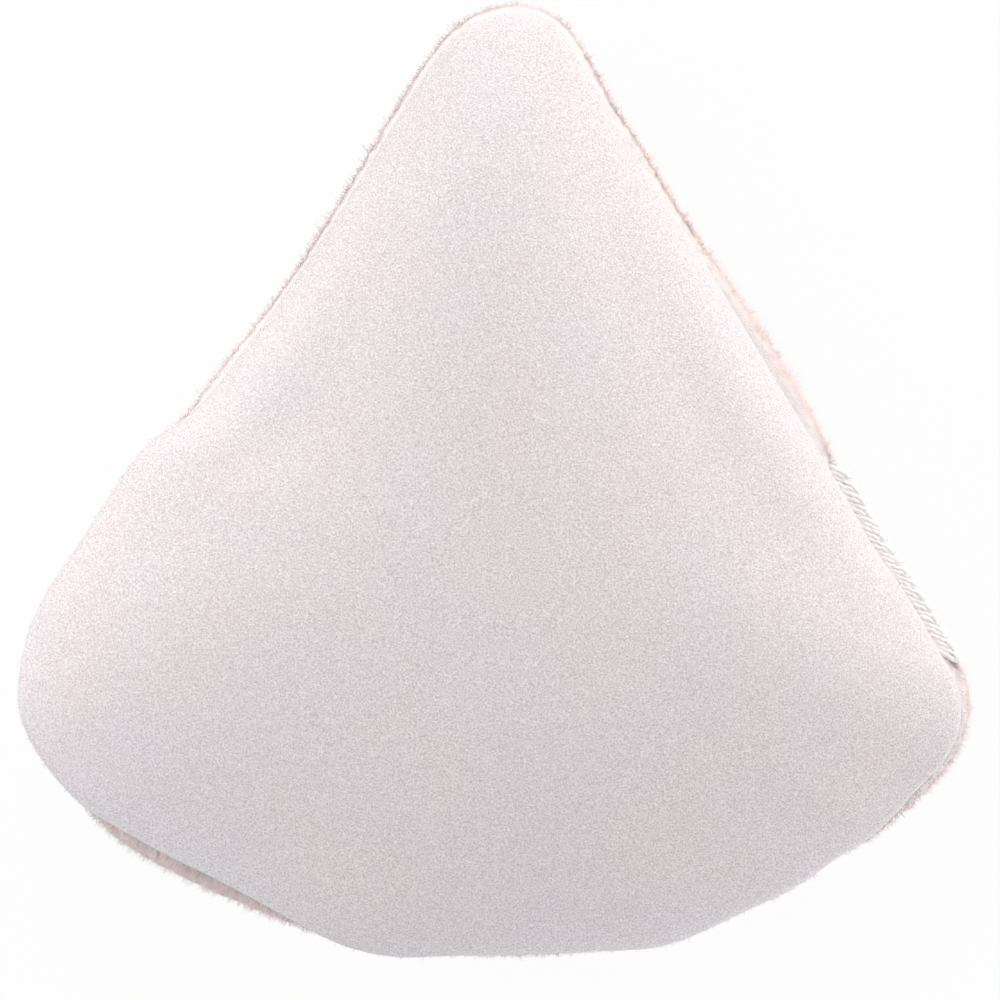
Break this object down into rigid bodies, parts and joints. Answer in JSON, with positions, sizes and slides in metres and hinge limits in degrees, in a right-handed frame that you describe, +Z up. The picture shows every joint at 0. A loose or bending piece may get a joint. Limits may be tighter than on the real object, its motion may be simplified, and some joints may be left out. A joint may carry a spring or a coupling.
{
  "type": "powder puff",
  "caption": "Rounded triangular powder puff with a smooth crowned face, a plush back and an overlocked closing seam along one side.",
  "frame": {"origin": "middle of the puff's box in plan, on the surface that the plush side lies on", "axes": "+Z up out of the smooth face, +Y towards the top corner of the triangle, +X towards the corner at the lower end of the overlocked seam"},
  "size_m": [0.0748, 0.0752, 0.016],
  "materials": {
    "face_fabric": "brushed microfibre, pale pink, very fine matt nap",
    "ground_knit": "fine pink knit that carries the pile",
    "plush_pile": "short soft pink pile, matt, slightly clumped",
    "foam": "soft open-cell foam, cream",
    "seam_thread": "spun polyester sewing thread",
    "overlock_thread": "woolly overlock thread, cream white"
  },
  "bodies": {
    "root": {"face_cover": "face_fabric", "rear_ground_fabric": "ground_knit", "rear_pile": "plush_pile", "foam_core": "foam", "seam_needle_thread": "seam_thread", "seam_bobbin_thread": "seam_thread", "overlock_needle_thread": "overlock_thread", "overlock_upper_looper_thread": "overlock_thread", "overlock_lower_looper_thread": "overlock_thread"}
  },
  "joints": []
}
